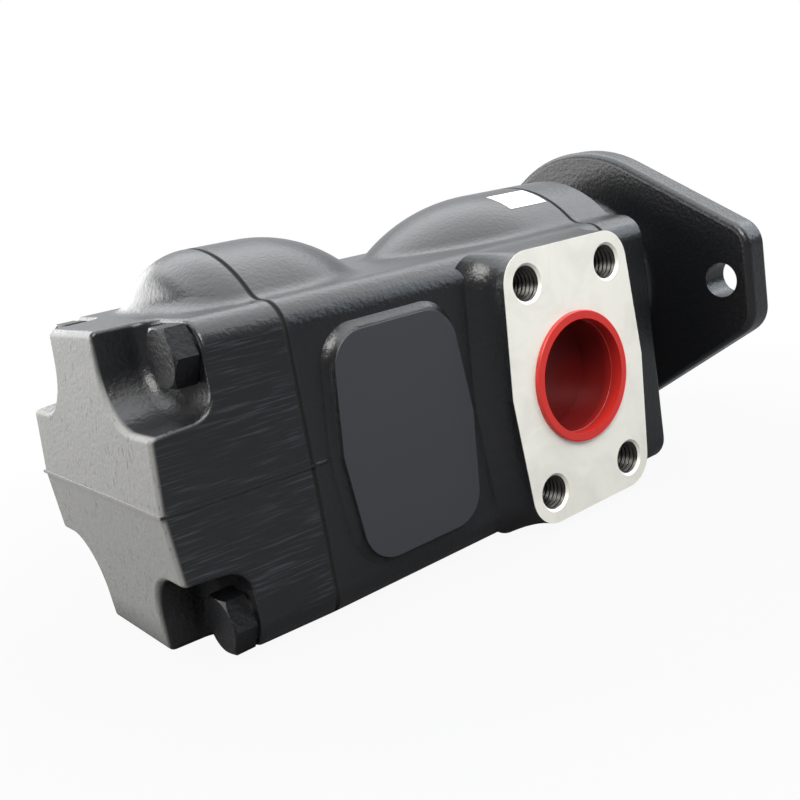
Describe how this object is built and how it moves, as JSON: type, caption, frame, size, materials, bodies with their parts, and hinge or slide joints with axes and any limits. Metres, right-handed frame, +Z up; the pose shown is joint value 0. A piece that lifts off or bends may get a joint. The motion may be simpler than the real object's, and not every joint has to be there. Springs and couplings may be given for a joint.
{
  "type": "hydraulic vane pump",
  "caption": "Tandem hydraulic vane pump with a two-bolt mounting flange, a keyed shaft, a four-bolt inlet port and outlet ports closed by shipping plugs.",
  "frame": {"origin": "centre of the mounting pilot, in the plane of the mounting face, on the shaft axis", "axes": "+X out along the shaft, +Z up from the flat base, -Y towards the inlet port"},
  "size_m": [0.3002, 0.1728, 0.1325],
  "materials": {
    "black_casting": "gloss black paint over cast iron",
    "black_bolt": "gloss black paint over steel",
    "ground_steel": "ground",
    "bearing_steel": "polished",
    "pressed_steel": "pressed sheet",
    "spring_steel": "phosphated",
    "bronze": "sintered",
    "seal_rubber": "matte nitrile",
    "plate_iron": "fine ground",
    "cam_steel": "hardened and ground",
    "red_plastic": "moulded polythene"
  },
  "bodies": {
    "casing": {"mounting_cap": "black_casting", "housing": "black_casting", "end_cap": "black_casting", "through_bolts": "black_bolt", "shaft_seal": "seal_rubber", "bearing_outer_race": "bearing_steel", "bearing_retaining_ring": "spring_steel", "rear_bush": "bronze", "front_joint_seal": "seal_rubber", "rear_joint_seal": "seal_rubber", "front_side_plate": "plate_iron", "front_cam_ring": "cam_steel", "front_pressure_plate": "plate_iron", "front_plate_seal": "seal_rubber", "front_dowels": "spring_steel", "front_screws": "spring_steel", "rear_side_plate": "plate_iron", "rear_cam_ring": "cam_steel", "rear_pressure_plate": "plate_iron", "rear_plate_seal": "seal_rubber", "rear_dowels": "spring_steel", "rear_screws": "spring_steel", "inlet_plug": "red_plastic", "outlet_plug_1": "red_plastic", "outlet_plug_2": "red_plastic"},
    "shaft_assembly": {"shaft": "ground_steel", "shaft_key": "ground_steel", "bearing_inner_race": "bearing_steel", "shaft_retaining_ring": "spring_steel", "front_rotor": "cam_steel", "front_vanes": "ground_steel", "rear_rotor": "cam_steel", "rear_vanes": "ground_steel"},
    "ball_set": {"bearing_balls": "bearing_steel", "bearing_cage": "pressed_steel"}
  },
  "joints": [
    {"name": "shaft_spin", "type": "hinge", "parent": "casing", "child": "shaft_assembly", "pos_m": [0, 0, 0], "axis": [1, 0, 0], "continuous": true},
    {"name": "ball_orbit", "type": "hinge", "parent": "casing", "child": "ball_set", "pos_m": [0, 0, 0], "axis": [1, 0, 0], "continuous": true}
  ],
  "couplings": [
    {"joint": "ball_orbit", "follows": "shaft_spin", "ratio": 0.396}
  ]
}
